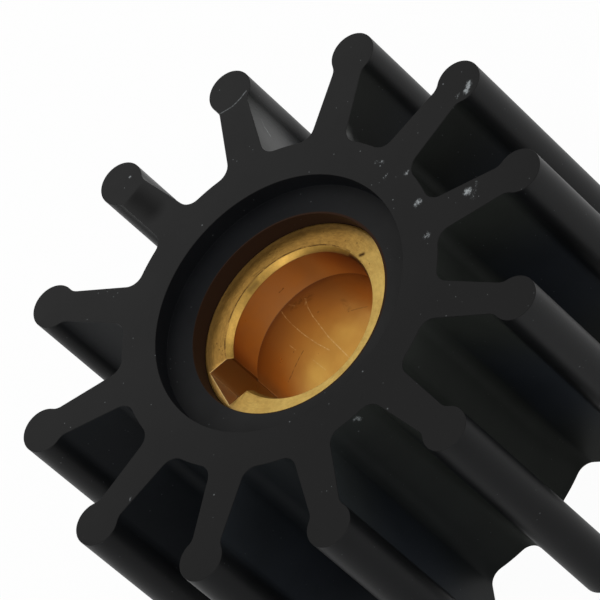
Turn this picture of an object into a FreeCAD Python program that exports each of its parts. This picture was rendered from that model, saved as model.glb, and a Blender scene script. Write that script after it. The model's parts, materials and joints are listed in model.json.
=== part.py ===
"""Flexible pump impeller: one rubber moulding with twelve beaded vanes on a keyed brass bush.

Millimetres, +Z along the shaft towards the recessed front end.
The origin is on the shaft axis, in the plane of the rear end face.
The first vane points along +X.
"""
import FreeCAD
import Part
import os

import Sketcher

V = FreeCAD.Vector
doc = FreeCAD.newDocument("pump_impeller")

# Driving dimensions, in millimetres unless the note says otherwise
SIZES = [
    ("tip_diameter", 60.0, "over the vane tips, free of the pump housing"),
    ("impeller_length", 30.5, "rubber moulding, end face to end face"),
    ("vane_count", 12, "number of vanes, evenly spaced"),
    ("bead_diameter", 4.8, "rounded sealing bead along each vane tip"),
    ("web_root_thickness", 4.15, "vane thickness where it leaves the hub"),
    ("web_tip_thickness", 3.1, "vane thickness carried out to the bead centre"),
    ("root_fillet", 1.6, "vane side to hub"),
    ("neck_fillet", 1.5, "vane side to bead"),
    ("hub_diameter", 36.0, "rubber hub between the vanes"),
    ("recess_diameter", 28.2, "shallow recess in the front end face"),
    ("recess_depth", 2.1, "front end face to the recess floor"),
    ("recess_foot_fillet", 0.25, "recess wall to recess floor"),
    ("bush_diameter", 22.0, "brass bush, and the hole in the rubber round it"),
    ("bush_front_depth", 4.1, "front end face of the rubber to the bush"),
    ("bush_rear_depth", 0.5, "rear end face of the rubber to the bush"),
    ("bush_front_round", 0.3, "rounded front shoulder of the bush"),
    ("bush_rear_chamfer", 0.5, "rear outer corner of the bush"),
    ("bore_diameter", 16.0, "shaft bore"),
    ("bore_chamfer", 0.6, "lead-in at both ends of the bore"),
    ("bore_land_length", 5.0, "end of the bush to the relief, at both ends"),
    ("bore_relief_depth", 0.15, "radial depth of the relief between the two lands"),
    ("keyway_width", 5.0, "side to side"),
    ("keyway_depth", 2.3, "bore radius to the keyway floor"),
    ("keyway_pitches", 2.5, "vane pitches from the first vane to the keyway"),
]

sheet = doc.addObject("Spreadsheet::Sheet", "sizes")
for row, (alias, value, note) in enumerate(SIZES, start=1):
    sheet.set("A%d" % row, alias)
    sheet.set("B%d" % row, str(value))
    sheet.setAlias("B%d" % row, alias)
    sheet.set("C%d" % row, note)
doc.recompute()

# Sketcher's numbers for a line's start and end, a circle's centre, the horizontal axis and the origin
START = 1
END = 2
CENTRE = 3
HORIZONTAL_AXIS = -1
SKETCH_ORIGIN = -1

WHOLE_TURN = 360.0

# Distance in millimetres within which an edge counts as lying on a given radius or height
ON_EDGE = 0.002


def new_body(label):
    body = doc.addObject("PartDesign::Body", label)
    body.Label = label
    body.Placement = FreeCAD.Placement()
    return body


def origin_feature(body, role):
    return [item for item in body.Origin.OriginFeatures if item.Role == role][0]


def new_sketch(body, name, plane):
    sketch = body.newObject("Sketcher::SketchObject", name)
    sketch.AttachmentSupport = [(origin_feature(body, plane), "")]
    sketch.MapMode = "FlatFace"
    sketch.Visibility = False
    return sketch


def evaluate(owner, formula):
    """Value of a formula in millimetres, on the present sizes."""
    result = owner.evalExpression(formula)
    return float(getattr(result, "Value", result))


def hold_point(sketch, kind, geometry, point, formula):
    """Keep a point at a formula's distance from the sketch origin along X or Y."""
    if formula == "0" and kind == "DistanceY":
        sketch.addConstraint(Sketcher.Constraint("PointOnObject", geometry, point, HORIZONTAL_AXIS))
        return
    value = evaluate(sketch, formula)
    number = sketch.addConstraint(
        Sketcher.Constraint(kind, SKETCH_ORIGIN, START, geometry, point, value))
    sketch.setExpression("Constraints[%d]" % number, formula)


def straight_outline(sketch, corners):
    """Closed outline of straight sides through corners given as (x formula, y formula)."""
    points = [V(evaluate(sketch, x), evaluate(sketch, y), 0) for x, y in corners]
    count = len(points)
    for index in range(count):
        side = Part.LineSegment(points[index], points[(index + 1) % count])
        sketch.addGeometry(side, False)
    for index in range(count):
        following = (index + 1) % count
        sketch.addConstraint(Sketcher.Constraint("Coincident", index, END, following, START))
    for index, (x, y) in enumerate(corners):
        hold_point(sketch, "DistanceX", index, START, x)
        hold_point(sketch, "DistanceY", index, START, y)


def full_turn(body, name, sketch):
    feature = body.newObject("PartDesign::Revolution", name)
    feature.Profile = sketch
    feature.ReferenceAxis = (sketch, ["V_Axis"])
    feature.Angle = WHOLE_TURN
    return feature


def full_length_pad(body, name, sketch):
    feature = body.newObject("PartDesign::Pad", name)
    feature.Profile = sketch
    feature.setExpression("Length", "sizes.impeller_length")
    return feature


def edge_names(shape, is_wanted):
    """Names of the edges for which is_wanted(edge) holds."""
    return ["Edge%d" % number for number, edge in enumerate(shape.Edges, start=1) if is_wanted(edge)]


def round_edges(body, name, base, edges, radius_alias):
    if not edges:
        raise RuntimeError("no edge found for " + name)
    feature = body.newObject("PartDesign::Fillet", name)
    feature.Base = (base, edges)
    feature.setExpression("Radius", "sizes." + radius_alias)
    return feature


def along_shaft(edge):
    """True for a straight edge parallel to the shaft."""
    if not isinstance(edge.Curve, Part.Line):
        return False
    start, end = edge.Vertexes[0].Point, edge.Vertexes[-1].Point
    return abs(start.x - end.x) < ON_EDGE and abs(start.y - end.y) < ON_EDGE


def circle_at(edge, radius, height):
    """True for a circular edge round the shaft at this radius and height."""
    curve = edge.Curve
    if not isinstance(curve, Part.Circle):
        return False
    on_axis = abs(curve.Center.x) < ON_EDGE and abs(curve.Center.y) < ON_EDGE
    return on_axis and abs(curve.Radius - radius) < ON_EDGE and abs(curve.Center.z - height) < ON_EDGE


# Rubber moulding: hub with its front recess, then twelve beaded vanes
rubber = new_body("rubber_impeller")

hub_section = new_sketch(rubber, "hub_section", "XZ_Plane")
straight_outline(hub_section, [
    ("sizes.bush_diameter / 2", "0"),
    ("sizes.hub_diameter / 2", "0"),
    ("sizes.hub_diameter / 2", "sizes.impeller_length"),
    ("sizes.recess_diameter / 2", "sizes.impeller_length"),
    ("sizes.recess_diameter / 2", "sizes.impeller_length - sizes.recess_depth"),
    ("sizes.bush_diameter / 2", "sizes.impeller_length - sizes.recess_depth"),
])
hub = full_turn(rubber, "hub", hub_section)
doc.recompute()

# The foot of the recess wall is rounded
recess_radius = evaluate(hub, "sizes.recess_diameter / 2")
recess_floor = evaluate(hub, "sizes.impeller_length - sizes.recess_depth")
recess_foot = edge_names(hub.Shape, lambda edge: circle_at(edge, recess_radius, recess_floor))
hub_with_foot = round_edges(rubber, "recess_foot", hub, recess_foot, "recess_foot_fillet")

# A web starts midway through the hub wall and ends at the centre line of its bead.
BEAD_CENTRE = "(sizes.tip_diameter - sizes.bead_diameter) / 2"
WEB_START = "(sizes.hub_diameter + sizes.recess_diameter) / 4"
WEB_SLOPE = ("(sizes.web_root_thickness - sizes.web_tip_thickness)"
             " / (2 * " + BEAD_CENTRE + " - sizes.hub_diameter)")
HALF_START = ("(sizes.web_root_thickness / 2 + (sizes.hub_diameter / 2 - " + WEB_START + ")"
              " * " + WEB_SLOPE + ")")
web_section = new_sketch(rubber, "web_section", "XY_Plane")
straight_outline(web_section, [
    (WEB_START, "-" + HALF_START),
    (BEAD_CENTRE, "-sizes.web_tip_thickness / 2"),
    (BEAD_CENTRE, "sizes.web_tip_thickness / 2"),
    (WEB_START, HALF_START),
])
web = full_length_pad(rubber, "web", web_section)
doc.recompute()

bead_section = new_sketch(rubber, "bead_section", "XY_Plane")
bead_radius = evaluate(bead_section, "sizes.bead_diameter / 2")
bead_centre = evaluate(bead_section, BEAD_CENTRE)
circle = bead_section.addGeometry(Part.Circle(V(bead_centre, 0, 0), V(0, 0, 1), bead_radius), False)
bead_section.addConstraint(Sketcher.Constraint("PointOnObject", circle, CENTRE, HORIZONTAL_AXIS))
hold_point(bead_section, "DistanceX", circle, CENTRE, BEAD_CENTRE)
radius_number = bead_section.addConstraint(Sketcher.Constraint("Radius", circle, bead_radius))
bead_section.setExpression("Constraints[%d]" % radius_number, "sizes.bead_diameter / 2")
bead = full_length_pad(rubber, "bead", bead_section)
doc.recompute()

vanes = rubber.newObject("PartDesign::PolarPattern", "vanes")
vanes.Originals = [web, bead]
vanes.Axis = (origin_feature(rubber, "Z_Axis"), [""])
vanes.Angle = WHOLE_TURN
vanes.setExpression("Occurrences", "sizes.vane_count")
rubber.Tip = vanes
doc.recompute()

hub_radius = evaluate(vanes, "sizes.hub_diameter / 2")


def radius_of(edge):
    point = edge.Vertexes[0].Point
    return (point.x ** 2 + point.y ** 2) ** 0.5


def at_neck(edge):
    return along_shaft(edge) and hub_radius + ON_EDGE < radius_of(edge) < bead_centre


def at_root(edge):
    return along_shaft(edge) and abs(radius_of(edge) - hub_radius) < ON_EDGE


necks = round_edges(rubber, "necks", vanes, edge_names(vanes.Shape, at_neck), "neck_fillet")
doc.recompute()
roots = round_edges(rubber, "roots", necks, edge_names(necks.Shape, at_root), "root_fillet")
rubber.Tip = roots
doc.recompute()

# Brass bush: turned, with its front shoulder lightly rounded, then broached for the key
bush = new_body("brass_bush")

BUSH_RADIUS = "sizes.bush_diameter / 2"
BORE_RADIUS = "sizes.bore_diameter / 2"
RELIEF_RADIUS = "sizes.bore_diameter / 2 + sizes.bore_relief_depth"
REAR = "sizes.bush_rear_depth"
FRONT = "sizes.impeller_length - sizes.bush_front_depth"
bush_section = new_sketch(bush, "bush_section", "XZ_Plane")
straight_outline(bush_section, [
    (BORE_RADIUS + " + sizes.bore_chamfer", REAR),
    (BUSH_RADIUS + " - sizes.bush_rear_chamfer", REAR),
    (BUSH_RADIUS, REAR + " + sizes.bush_rear_chamfer"),
    (BUSH_RADIUS, FRONT),
    (BORE_RADIUS + " + sizes.bore_chamfer", FRONT),
    (BORE_RADIUS, FRONT + " - sizes.bore_chamfer"),
    (BORE_RADIUS, FRONT + " - sizes.bore_land_length"),
    (RELIEF_RADIUS, FRONT + " - sizes.bore_land_length - sizes.bore_relief_depth"),
    (RELIEF_RADIUS, REAR + " + sizes.bore_land_length + sizes.bore_relief_depth"),
    (BORE_RADIUS, REAR + " + sizes.bore_land_length"),
    (BORE_RADIUS, REAR + " + sizes.bore_chamfer"),
])
turned = full_turn(bush, "turned", bush_section)
doc.recompute()

bush_radius = evaluate(turned, BUSH_RADIUS)
bush_front = evaluate(turned, FRONT)
shoulder = edge_names(turned.Shape, lambda edge: circle_at(edge, bush_radius, bush_front))
rounded = round_edges(bush, "shoulder", turned, shoulder, "bush_front_round")
doc.recompute()

keyway_section = new_sketch(bush, "keyway_section", "XY_Plane")
# A quarter turn gives the sketch its axis of turning, and the formula then sets the angle.
QUARTER_TURN = 90
KEYWAY_ANGLE = "sizes.keyway_pitches * 360deg / sizes.vane_count"
keyway_section.AttachmentOffset = FreeCAD.Placement(
    V(0, 0, 0), FreeCAD.Rotation(V(0, 0, 1), QUARTER_TURN))
keyway_section.setExpression("AttachmentOffset.Rotation.Angle", KEYWAY_ANGLE)
KEYWAY_FLOOR = BORE_RADIUS + " + sizes.keyway_depth"
straight_outline(keyway_section, [
    (BORE_RADIUS + " / 2", "-sizes.keyway_width / 2"),
    (KEYWAY_FLOOR, "-sizes.keyway_width / 2"),
    (KEYWAY_FLOOR, "sizes.keyway_width / 2"),
    (BORE_RADIUS + " / 2", "sizes.keyway_width / 2"),
])
keyway = bush.newObject("PartDesign::Pocket", "keyway")
keyway.Profile = keyway_section
keyway.Type = "ThroughAll"
keyway.Reversed = True
bush.Tip = keyway
doc.recompute()

# Checks before anything is written
for item in doc.Objects:
    if "Invalid" in item.State or "Error" in item.State:
        raise RuntimeError("%s is %s" % (item.Name, item.State))
if rubber.Shape.Volume <= hub_with_foot.Shape.Volume:
    raise RuntimeError("the vanes add nothing to the hub")
if keyway.Shape.Volume >= rounded.Shape.Volume:
    raise RuntimeError("the keyway cuts nothing")
for body in (rubber, bush):
    shape = body.Shape
    if shape.isNull() or not shape.isValid() or len(shape.Solids) != 1:
        raise RuntimeError(body.Label + " is not one valid solid")

os.makedirs("parts", exist_ok=True)
for body in (rubber, bush):
    body.Shape.exportStep("parts/%s.step" % body.Label)
    print(body.Label, round(body.Shape.Volume, 2), "cubic mm")
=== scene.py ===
"""Rubber pump impeller on its keyed brass bush: the shapes, their finishes and a studio stage.

Metres in Blender; the sizes below are written in millimetres and turned to metres by MM.
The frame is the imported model's: shaft along +Z, recessed front end up, first vane along +X.
"""
import json
import math
from functools import partial

import bmesh
import bpy
from mathutils import Matrix, Vector, geometry


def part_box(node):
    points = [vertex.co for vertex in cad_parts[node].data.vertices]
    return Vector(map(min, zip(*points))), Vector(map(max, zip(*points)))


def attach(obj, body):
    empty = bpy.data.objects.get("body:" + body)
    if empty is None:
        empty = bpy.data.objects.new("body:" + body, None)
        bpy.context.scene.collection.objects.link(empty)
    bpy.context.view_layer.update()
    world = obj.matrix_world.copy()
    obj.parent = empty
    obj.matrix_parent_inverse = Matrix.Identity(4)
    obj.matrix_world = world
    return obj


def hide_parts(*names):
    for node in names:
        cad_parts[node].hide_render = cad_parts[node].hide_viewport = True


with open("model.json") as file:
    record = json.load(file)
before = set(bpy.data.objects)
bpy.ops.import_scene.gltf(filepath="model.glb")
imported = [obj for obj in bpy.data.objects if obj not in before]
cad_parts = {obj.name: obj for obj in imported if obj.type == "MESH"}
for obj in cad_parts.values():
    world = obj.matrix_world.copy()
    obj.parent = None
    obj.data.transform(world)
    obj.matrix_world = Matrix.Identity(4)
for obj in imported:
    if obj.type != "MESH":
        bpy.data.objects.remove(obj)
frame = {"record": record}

bl_info = {
    "name": "Pump Impeller",
    "version": (1, 0, 0),
    "blender": (4, 5, 0),
    "location": "3D View > Sidebar > Impeller",
    "description": "A rubber pump impeller with its brass bush, their finishes and a studio stage",
    "category": "Add Mesh",
}

MM = 0.001
UP = Vector((0, 0, 1))
ORIGIN = Vector((0, 0, 0))
WHITE = (1, 1, 1, 1)
WHOLE_TURN = 2 * math.pi

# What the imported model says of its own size
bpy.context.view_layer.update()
RUBBER_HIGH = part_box("rubber_impeller")[1]
BUSH_LOW, BUSH_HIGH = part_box("brass_bush")
MOUNTS = {mount["name"]: mount for mount in frame["record"]["mounts"]}
BORE_RADIUS = MOUNTS["shaft_bore"]["dims"]["r_mm"] * MM


def linear(hex_code):
    """Linear RGBA of an sRGB colour written as #rrggbb."""
    channels = []
    for place in (1, 3, 5):
        value = int(hex_code[place:place + 2], 16) / 255
        channels.append(value / 12.92 if value <= 0.04045 else ((value + 0.055) / 1.055) ** 2.4)
    return (*channels, 1.0)


def length(name, description, default):
    return bpy.props.FloatProperty(
        name=name, description=description, default=default, unit="LENGTH", precision=5)


def angle(name, description, degrees):
    return bpy.props.FloatProperty(
        name=name, description=description, default=math.radians(degrees), subtype="ANGLE")


def colour(name, description, hex_code):
    return bpy.props.FloatVectorProperty(
        name=name, description=description, default=linear(hex_code), size=4, subtype="COLOR")


class ImpellerRubberSettings(bpy.types.PropertyGroup):
    """Sizes and colours of the rubber moulding"""
    vane_count: bpy.props.IntProperty(
        name="Vanes", description="Number of vanes, evenly spaced", default=12, min=3)
    tip_radius: length("Tip radius", "Shaft axis to the vane tips", RUBBER_HIGH.x)
    front_height: length("Front height", "Rear end face to front end face", RUBBER_HIGH.z)
    bead_radius: length("Bead radius", "Rounded sealing bead along each tip", 2.4 * MM)
    web_root: length("Web at hub", "Vane thickness where it leaves the hub", 4.15 * MM)
    web_tip: length("Web at bead", "Vane thickness carried out to the bead centre", 3.1 * MM)
    root_fillet: length("Root fillet", "Vane side to hub", 1.6 * MM)
    neck_fillet: length("Neck fillet", "Vane side to bead", 1.5 * MM)
    hub_radius: length("Hub radius", "Rubber hub between the vanes", 18.0 * MM)
    recess_radius: length("Recess radius", "Shallow recess in the front end", 14.1 * MM)
    recess_depth: length("Recess depth", "Front end face to the recess floor", 2.1 * MM)
    hole_radius: length("Hole radius", "Hole in the rubber round the bush", 11.0 * MM)
    hole_front: length("Hole front", "Plane of the bush's face, where the hole opens", BUSH_HIGH.z)
    rim_radius: length("Rim radius", "Mouth of the hole in the recess floor", 10.95 * MM)
    rim_shift_x: length("Rim shift X", "Mouth of the hole off the shaft axis", 0.08 * MM)
    rim_shift_y: length("Rim shift Y", "Mouth of the hole off the shaft axis", 0.10 * MM)
    edge_round: length("Edge round", "Softened edges of the moulding", 0.06 * MM)
    side_colour: colour("Moulded sides", "Rubber that took the polish of the mould", "#1b1e22")
    # Gap mouths: greyed by fine dust and by painted light where more light reaches into the gaps
    gap_colour: colour("Gap mouths", "Sides near the ends, greyed by fine dust", "#1d1f1d")
    bead_colour: colour("Beads", "Tip beads, greyed by running in the pump", "#111213")
    recess_colour: colour("Recess", "Floor and wall of the front recess", "#18191b")
    # Painted light: the recess lighter on its near side
    painted_lit_recess_colour: colour("Dusty recess", "Side of the recess where dust greys it", "#2a2a2a")
    end_colour: colour("End faces", "Rubber ground flat and left dull", "#131313")
    # Painted light: the end faces lighter towards +X
    painted_lit_end_colour: colour("Dusty end", "Side of the end faces where fine dust greys them", "#242424")
    # Brown painted reflection of the brass on the wall of the hole
    dark_brown_colour: colour("Stain", "Brown stain where the rubber meets the brass", "#33231a")
    # Also the colour of a painted highlight along an edge of the second vane
    dust_and_highlight_colour: colour("Dust", "Specks and scuffs on the rubber", "#b4babc")
    # Painted shade on the end of the first vane
    shade_patch_colour: colour("Dull patch", "Dark patch on the end of the first vane", "#060606")


class ImpellerBushSettings(bpy.types.PropertyGroup):
    """Sizes and colours of the brass bush"""
    outer_radius: length("Outer radius", "Bush and the hole round it", 11.0 * MM)
    rear_height: length("Rear height", "Plane of the bush's rear end", BUSH_LOW.z)
    front_height: length("Front height", "Plane of the bush's front face", BUSH_HIGH.z)
    bore_radius: length("Bore radius", "Shaft bore", BORE_RADIUS)
    front_round: length("Front round", "Rounded front shoulder", 0.3 * MM)
    rear_chamfer: length("Rear chamfer", "Rear outer corner", 0.5 * MM)
    chamfer_width: length("Chamfer width", "Lead-in of the bore, across its end", 0.4 * MM)
    chamfer_depth: length("Chamfer depth", "Lead-in of the bore, down its wall", 0.6 * MM)
    chamfer_shift_x: length("Chamfer shift X", "Front lead-in off the shaft axis", 0.14 * MM)
    chamfer_shift_y: length("Chamfer shift Y", "Front lead-in off the shaft axis", 0.07 * MM)
    land_length: length("Land length", "End of the bush to the relief", 5.0 * MM)
    relief_depth: length("Relief depth", "Radial depth between the lands", 0.15 * MM)
    keyway_width: length("Keyway width", "Side to side", 5.0 * MM)
    keyway_floor: length("Keyway floor", "Shaft axis to the keyway floor", 10.3 * MM)
    keyway_angle: angle("Keyway angle", "From the first vane round the shaft", 75.0)
    burr_round: length("Burr round", "Broken corners of the brass", 0.07 * MM)
    face_colour: colour("Face brass", "Turned face and shoulder", "#c0a159")
    tarnish_colour: colour("Tarnished brass", "Side of the face that nothing rubs", "#a0783b")
    corner_colour: colour("Corner brass", "Lead-in of the bore and outer shoulder", "#cca04c")
    # Painted shade: the brown of the lands stands in for light lost in the bore
    land_painted_shade_colour: colour("Land brass", "Oil-browned lands of the bore", "#c4935e")
    # Painted highlights: lobes of light deep in the relief
    lobe_highlight_colour: colour("Rubbed brass", "Where the relief is rubbed bright", "#e8bb5c")
    keyway_colour: colour("Keyway brass", "Broached walls of the keyway", "#caa978")
    # Also painted highlights along the broken edges round the keyway
    bare_and_highlight_colour: colour("Bare brass", "Scratches and broken edges", "#ecd296")
    # Painted shade on the bore beside the keyway
    keyway_shade_colour: colour("Oiled brass", "Bore beside the keyway", "#896b4b")
    dark_brown_colour: colour("Stain", "Dark oxide in marks and corners", "#3a2410")


class ImpellerStageSettings(bpy.types.PropertyGroup):
    """Camera, lamps and floor"""
    azimuth: angle("Azimuth", "Camera round the shaft, from looking along +Y", -93.18)
    elevation: angle("Elevation", "Camera above the floor", 45.26)
    roll: angle("Roll", "Camera about its own line of sight", -48.44)
    distance: length("Distance", "Camera to the point it looks at", 639.3 * MM)
    lens: bpy.props.FloatProperty(
        name="Lens", description="Focal length in millimetres", default=397.54, min=1.0)
    floor_colour: colour("Floor", "Pale plain floor", "#e6e6e6")
    sky_strength: bpy.props.FloatProperty(
        name="Sky", description="Strength of the plain studio light", default=0.5, min=0.0)


def turn_between(start, end):
    """Signed angle from one flat vector to another, counter-clockwise positive."""
    return math.atan2(start.x * end.y - start.y * end.x, start.x * end.x + start.y * end.y)


def arc_from(bm, vertex, centre, turn, steps, axis=UP):
    """Draw an arc by turning a vertex about a centre, and return the vertex at its far end."""
    drawn = bmesh.ops.spin(
        bm, geom=[vertex], cent=centre, axis=axis, angle=turn, steps=steps,
        use_merge=False, use_duplicate=False)
    return new_verts(drawn, "geom_last")[0]


def line_from(bm, vertex, point):
    """Draw a straight edge from a vertex to a point, and return the vertex there."""
    end = bmesh.ops.extrude_vert_indiv(bm, verts=[vertex])["verts"][0]
    end.co = point
    return end


def fillet_centre(side, offset, circle_centre, distance):
    """Point on a straight side moved by an offset, at a distance from a circle's centre."""
    start, end = (point + offset for point in side)
    hits = geometry.intersect_line_sphere_2d(start, end, circle_centre, distance, False)
    return min(hits, key=lambda hit: (hit - side[0]).length)


def finish_object(name, bm, material):
    """Turn a bmesh into a smooth-shaded piece whose flat faces stay flat."""
    mesh = bpy.data.meshes.new(name)
    bm.to_mesh(mesh)
    bm.free()
    mesh.materials.append(material)
    mesh.shade_smooth()
    piece = bpy.data.objects.new(name, mesh)
    bpy.context.scene.collection.objects.link(piece)
    weighted = piece.modifiers.new("flat_faces", "WEIGHTED_NORMAL")
    weighted.mode = "FACE_AREA"
    weighted.weight = 100
    weighted.keep_sharp = True
    return piece


# Steps of the arcs and segments of the softened edges
BEAD_STEPS, NECK_STEPS, ROOT_STEPS, GAP_STEPS, RING_STEPS = 20, 8, 8, 5, 16
TURNED_STEPS, SHOULDER_STEPS = 192, 12
ROUND_SEGMENTS, BURR_SEGMENTS = 3, 2
# Points nearer than this are one point
WELD = MM / 100
FINE_WELD = MM / 1000
# Faces that meet at more than this are an edge
RUBBER_EDGE = math.radians(60)
BRASS_EDGE = math.radians(30)


def add_front_end(bm, sizes):
    """Flat front end of the moulding: a sector with its vane, copied round the shaft."""
    height = sizes.front_height
    half_pitch = math.pi / sizes.vane_count
    bead_centre = Vector((sizes.tip_radius - sizes.bead_radius, 0))
    side_start = Vector((sizes.hub_radius, -sizes.web_root / 2))
    side_end = Vector((bead_centre.x, -sizes.web_tip / 2))
    along = (side_end - side_start).normalized()
    outward = Vector((along.y, -along.x))
    root_offset, neck_offset = outward * sizes.root_fillet, outward * sizes.neck_fillet
    root = fillet_centre((side_start, side_end), root_offset, Vector((0, 0)),
                         sizes.hub_radius + sizes.root_fillet)
    neck = fillet_centre((side_start, side_end), neck_offset, bead_centre,
                         sizes.bead_radius + sizes.neck_fillet)
    root_on_hub = root.normalized() * sizes.hub_radius
    root_on_side = root - root_offset
    neck_on_side = neck - neck_offset
    neck_on_bead = bead_centre + (neck - bead_centre).normalized() * sizes.bead_radius
    gap_start = Vector((math.cos(half_pitch), -math.sin(half_pitch))) * sizes.hub_radius
    tip = Vector((sizes.tip_radius, 0))

    first = bm.verts.new((*gap_start, height))
    point = arc_from(bm, first, ORIGIN, turn_between(gap_start, root_on_hub), GAP_STEPS)
    point = arc_from(bm, point, (*root, height),
                     turn_between(root_on_hub - root, root_on_side - root), ROOT_STEPS)
    point = line_from(bm, point, (*neck_on_side, height))
    point = arc_from(bm, point, (*neck, height),
                     turn_between(neck_on_side - neck, neck_on_bead - neck), NECK_STEPS)
    point = arc_from(bm, point, (*bead_centre, height),
                     turn_between(neck_on_bead - bead_centre, tip - bead_centre), BEAD_STEPS)
    bmesh.ops.mirror(bm, geom=bm.verts[:] + bm.edges[:], axis="Y", merge_dist=FINE_WELD)
    ends = [vertex for vertex in bm.verts if len(vertex.link_edges) == 1]
    low_end = min(ends, key=lambda vertex: vertex.co.y)
    high_end = max(ends, key=lambda vertex: vertex.co.y)
    on_ring = low_end.co.xy * sizes.recess_radius / sizes.hub_radius
    ring_start = line_from(bm, low_end, (*on_ring, height))
    ring_end = arc_from(bm, ring_start, ORIGIN, 2 * half_pitch, RING_STEPS)
    bm.edges.new((ring_end, high_end))
    bmesh.ops.contextual_create(bm, geom=bm.edges[:])
    copies = sizes.vane_count - 1
    bmesh.ops.spin(
        bm, geom=bm.verts[:] + bm.edges[:] + bm.faces[:], cent=ORIGIN, axis=UP,
        angle=2 * half_pitch * copies, steps=copies, use_merge=False, use_duplicate=True)
    bmesh.ops.remove_doubles(bm, verts=bm.verts, dist=WELD)


def rim(bm, height, inner, outer):
    """Boundary edges at a height, between two distances from the shaft axis."""
    return [edge for edge in bm.edges
            if edge.is_boundary and all(
                abs(vertex.co.z - height) < WELD and inner < vertex.co.xy.length < outer
                for vertex in edge.verts)]


def new_verts(drawn, key="geom"):
    """Vertices among what a bmesh operator made."""
    return [item for item in drawn[key] if isinstance(item, bmesh.types.BMVert)]


def build_rubber(sizes, material):
    """Moulding: both ends bridged along the vanes, then the recess, the hole and soft edges."""
    bm = bmesh.new()
    add_front_end(bm, sizes)
    front = sizes.front_height
    middle = (sizes.hub_radius + sizes.recess_radius) / 2
    beyond = sizes.tip_radius * 2
    rear_verts = new_verts(
        bmesh.ops.duplicate(bm, geom=bm.verts[:] + bm.edges[:] + bm.faces[:]))
    bmesh.ops.translate(bm, verts=rear_verts, vec=-front * UP)
    narrow = sizes.hole_radius / sizes.recess_radius
    bmesh.ops.scale(bm, verts=[vertex for vertex in rear_verts if vertex.co.xy.length < middle],
                    vec=(narrow, narrow, 1))
    bmesh.ops.bridge_loops(bm, edges=rim(bm, front, middle, beyond) + rim(bm, 0, middle, beyond))
    floor_height = front - sizes.recess_depth
    wall = bmesh.ops.extrude_edge_only(bm, edges=rim(bm, front, 0, middle))
    bmesh.ops.translate(bm, verts=new_verts(wall), vec=-sizes.recess_depth * UP)
    floor = bmesh.ops.extrude_edge_only(bm, edges=rim(bm, floor_height, 0, middle))
    bmesh.ops.scale(bm, verts=new_verts(floor), vec=(narrow, narrow, 1))
    hole = bmesh.ops.extrude_edge_only(bm, edges=rim(bm, floor_height, 0, middle))
    bmesh.ops.translate(bm, verts=new_verts(hole),
                        vec=(sizes.hole_front + sizes.recess_depth - front) * UP)
    bmesh.ops.bridge_loops(bm, edges=rim(bm, sizes.hole_front, 0, middle) + rim(bm, 0, 0, middle))
    mouth = sizes.rim_radius / sizes.hole_radius
    bmesh.ops.scale(bm, verts=new_verts(floor), vec=(mouth, mouth, 1))
    bmesh.ops.translate(bm, verts=new_verts(floor), vec=(sizes.rim_shift_x, sizes.rim_shift_y, 0))
    bmesh.ops.recalc_face_normals(bm, faces=bm.faces)
    square = [edge for edge in bm.edges if edge.calc_face_angle(0) > RUBBER_EDGE]
    bmesh.ops.bevel(bm, geom=square, offset=sizes.edge_round, affect="EDGES",
                    segments=ROUND_SEGMENTS, profile=0.5, material=-1, clamp_overlap=True)
    return finish_object("rubber_moulding", bm, material)


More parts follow.
